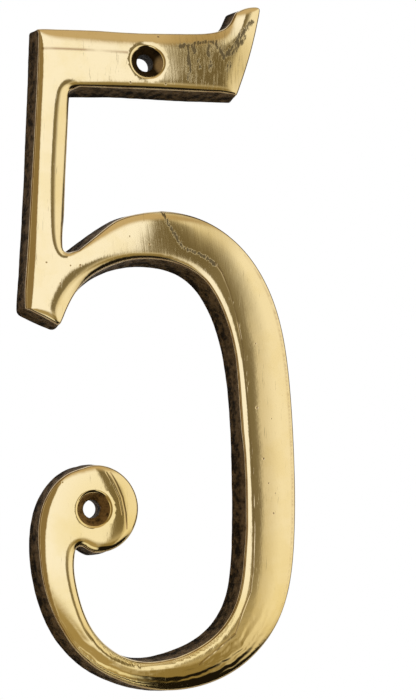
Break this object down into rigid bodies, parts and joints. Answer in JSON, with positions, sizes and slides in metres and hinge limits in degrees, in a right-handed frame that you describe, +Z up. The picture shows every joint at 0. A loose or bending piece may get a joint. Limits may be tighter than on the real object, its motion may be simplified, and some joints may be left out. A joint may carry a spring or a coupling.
{
  "type": "door number",
  "caption": "Cast brass door numeral, a serifed 5 with a crowned polished face, a flat back and two countersunk screw holes.",
  "frame": {"origin": "upper screw hole's axis where it meets the flat back", "axes": "+Z up the door, +X to the reader's right, face towards -Y, back plane at Y = 0"},
  "size_m": [0.0607, 0.0062, 0.1503],
  "materials": {
    "brass": "polished crowned face, dark rough cast side walls"
  },
  "bodies": {
    "root": {"number_five": "brass"}
  },
  "joints": []
}
